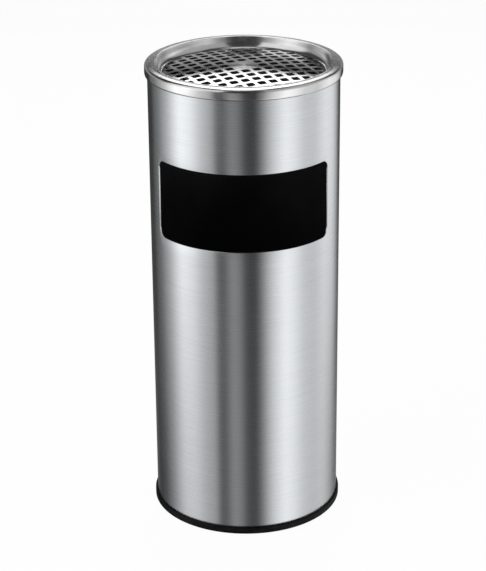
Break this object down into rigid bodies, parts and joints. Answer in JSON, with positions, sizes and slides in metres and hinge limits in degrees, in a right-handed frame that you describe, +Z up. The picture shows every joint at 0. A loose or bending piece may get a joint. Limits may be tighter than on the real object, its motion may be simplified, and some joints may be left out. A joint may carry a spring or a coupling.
{
  "type": "litter bin with ash top",
  "caption": "Round brushed steel litter bin with a wide letterbox opening, a lift-off ash top with a domed perforated grate, a lift-out inner bucket and a black base ring.",
  "frame": {"origin": "centre of the base ring's underside, on the floor", "axes": "+Z up along the tube's axis, the opening faces -Y, +X to the right of a person who stands in front of the opening and looks at it; millimetres in the source and metres here"},
  "size_m": [0.251, 0.251, 0.61],
  "materials": {
    "brushed_stainless": "satin",
    "polished_stainless": "polished",
    "black_coated_steel": "satin",
    "galvanised_steel": "satin",
    "black_rubber": "matte",
    "black_plastic": "matte"
  },
  "bodies": {
    "bin_body": {"outer_shell": "brushed_stainless", "base_ring": "black_rubber", "base_plate": "galvanised_steel", "base_screws": "galvanised_steel"},
    "bucket": {"bucket_wall": "black_coated_steel", "bucket_floor": "black_coated_steel", "bucket_rim_wire": "galvanised_steel", "handle_lug_left": "black_coated_steel", "handle_lug_right": "black_coated_steel", "lug_rivets": "galvanised_steel"},
    "bail": {"bail_wire": "galvanised_steel", "bail_grip": "black_plastic"},
    "ash_top": {"rim_collar": "polished_stainless", "ash_bowl": "polished_stainless"},
    "grate": {"ash_grate": "polished_stainless"}
  },
  "joints": [
    {"name": "bucket_lift", "type": "slide", "parent": "bin_body", "child": "bucket", "axis": [0, 0, 1], "range_m": [0, 0.62]},
    {"name": "bail_swing", "type": "hinge", "parent": "bucket", "child": "bail", "pos_m": [0, 0, 0.3065], "axis": [1, 0, 0], "range_deg": [-180, 0]},
    {"name": "ash_top_lift", "type": "slide", "parent": "bucket", "child": "ash_top", "axis": [0, 0, 1], "range_m": [0, 0.15]},
    {"name": "grate_lift", "type": "slide", "parent": "ash_top", "child": "grate", "axis": [0, 0, 1], "range_m": [0, 0.05]}
  ]
}
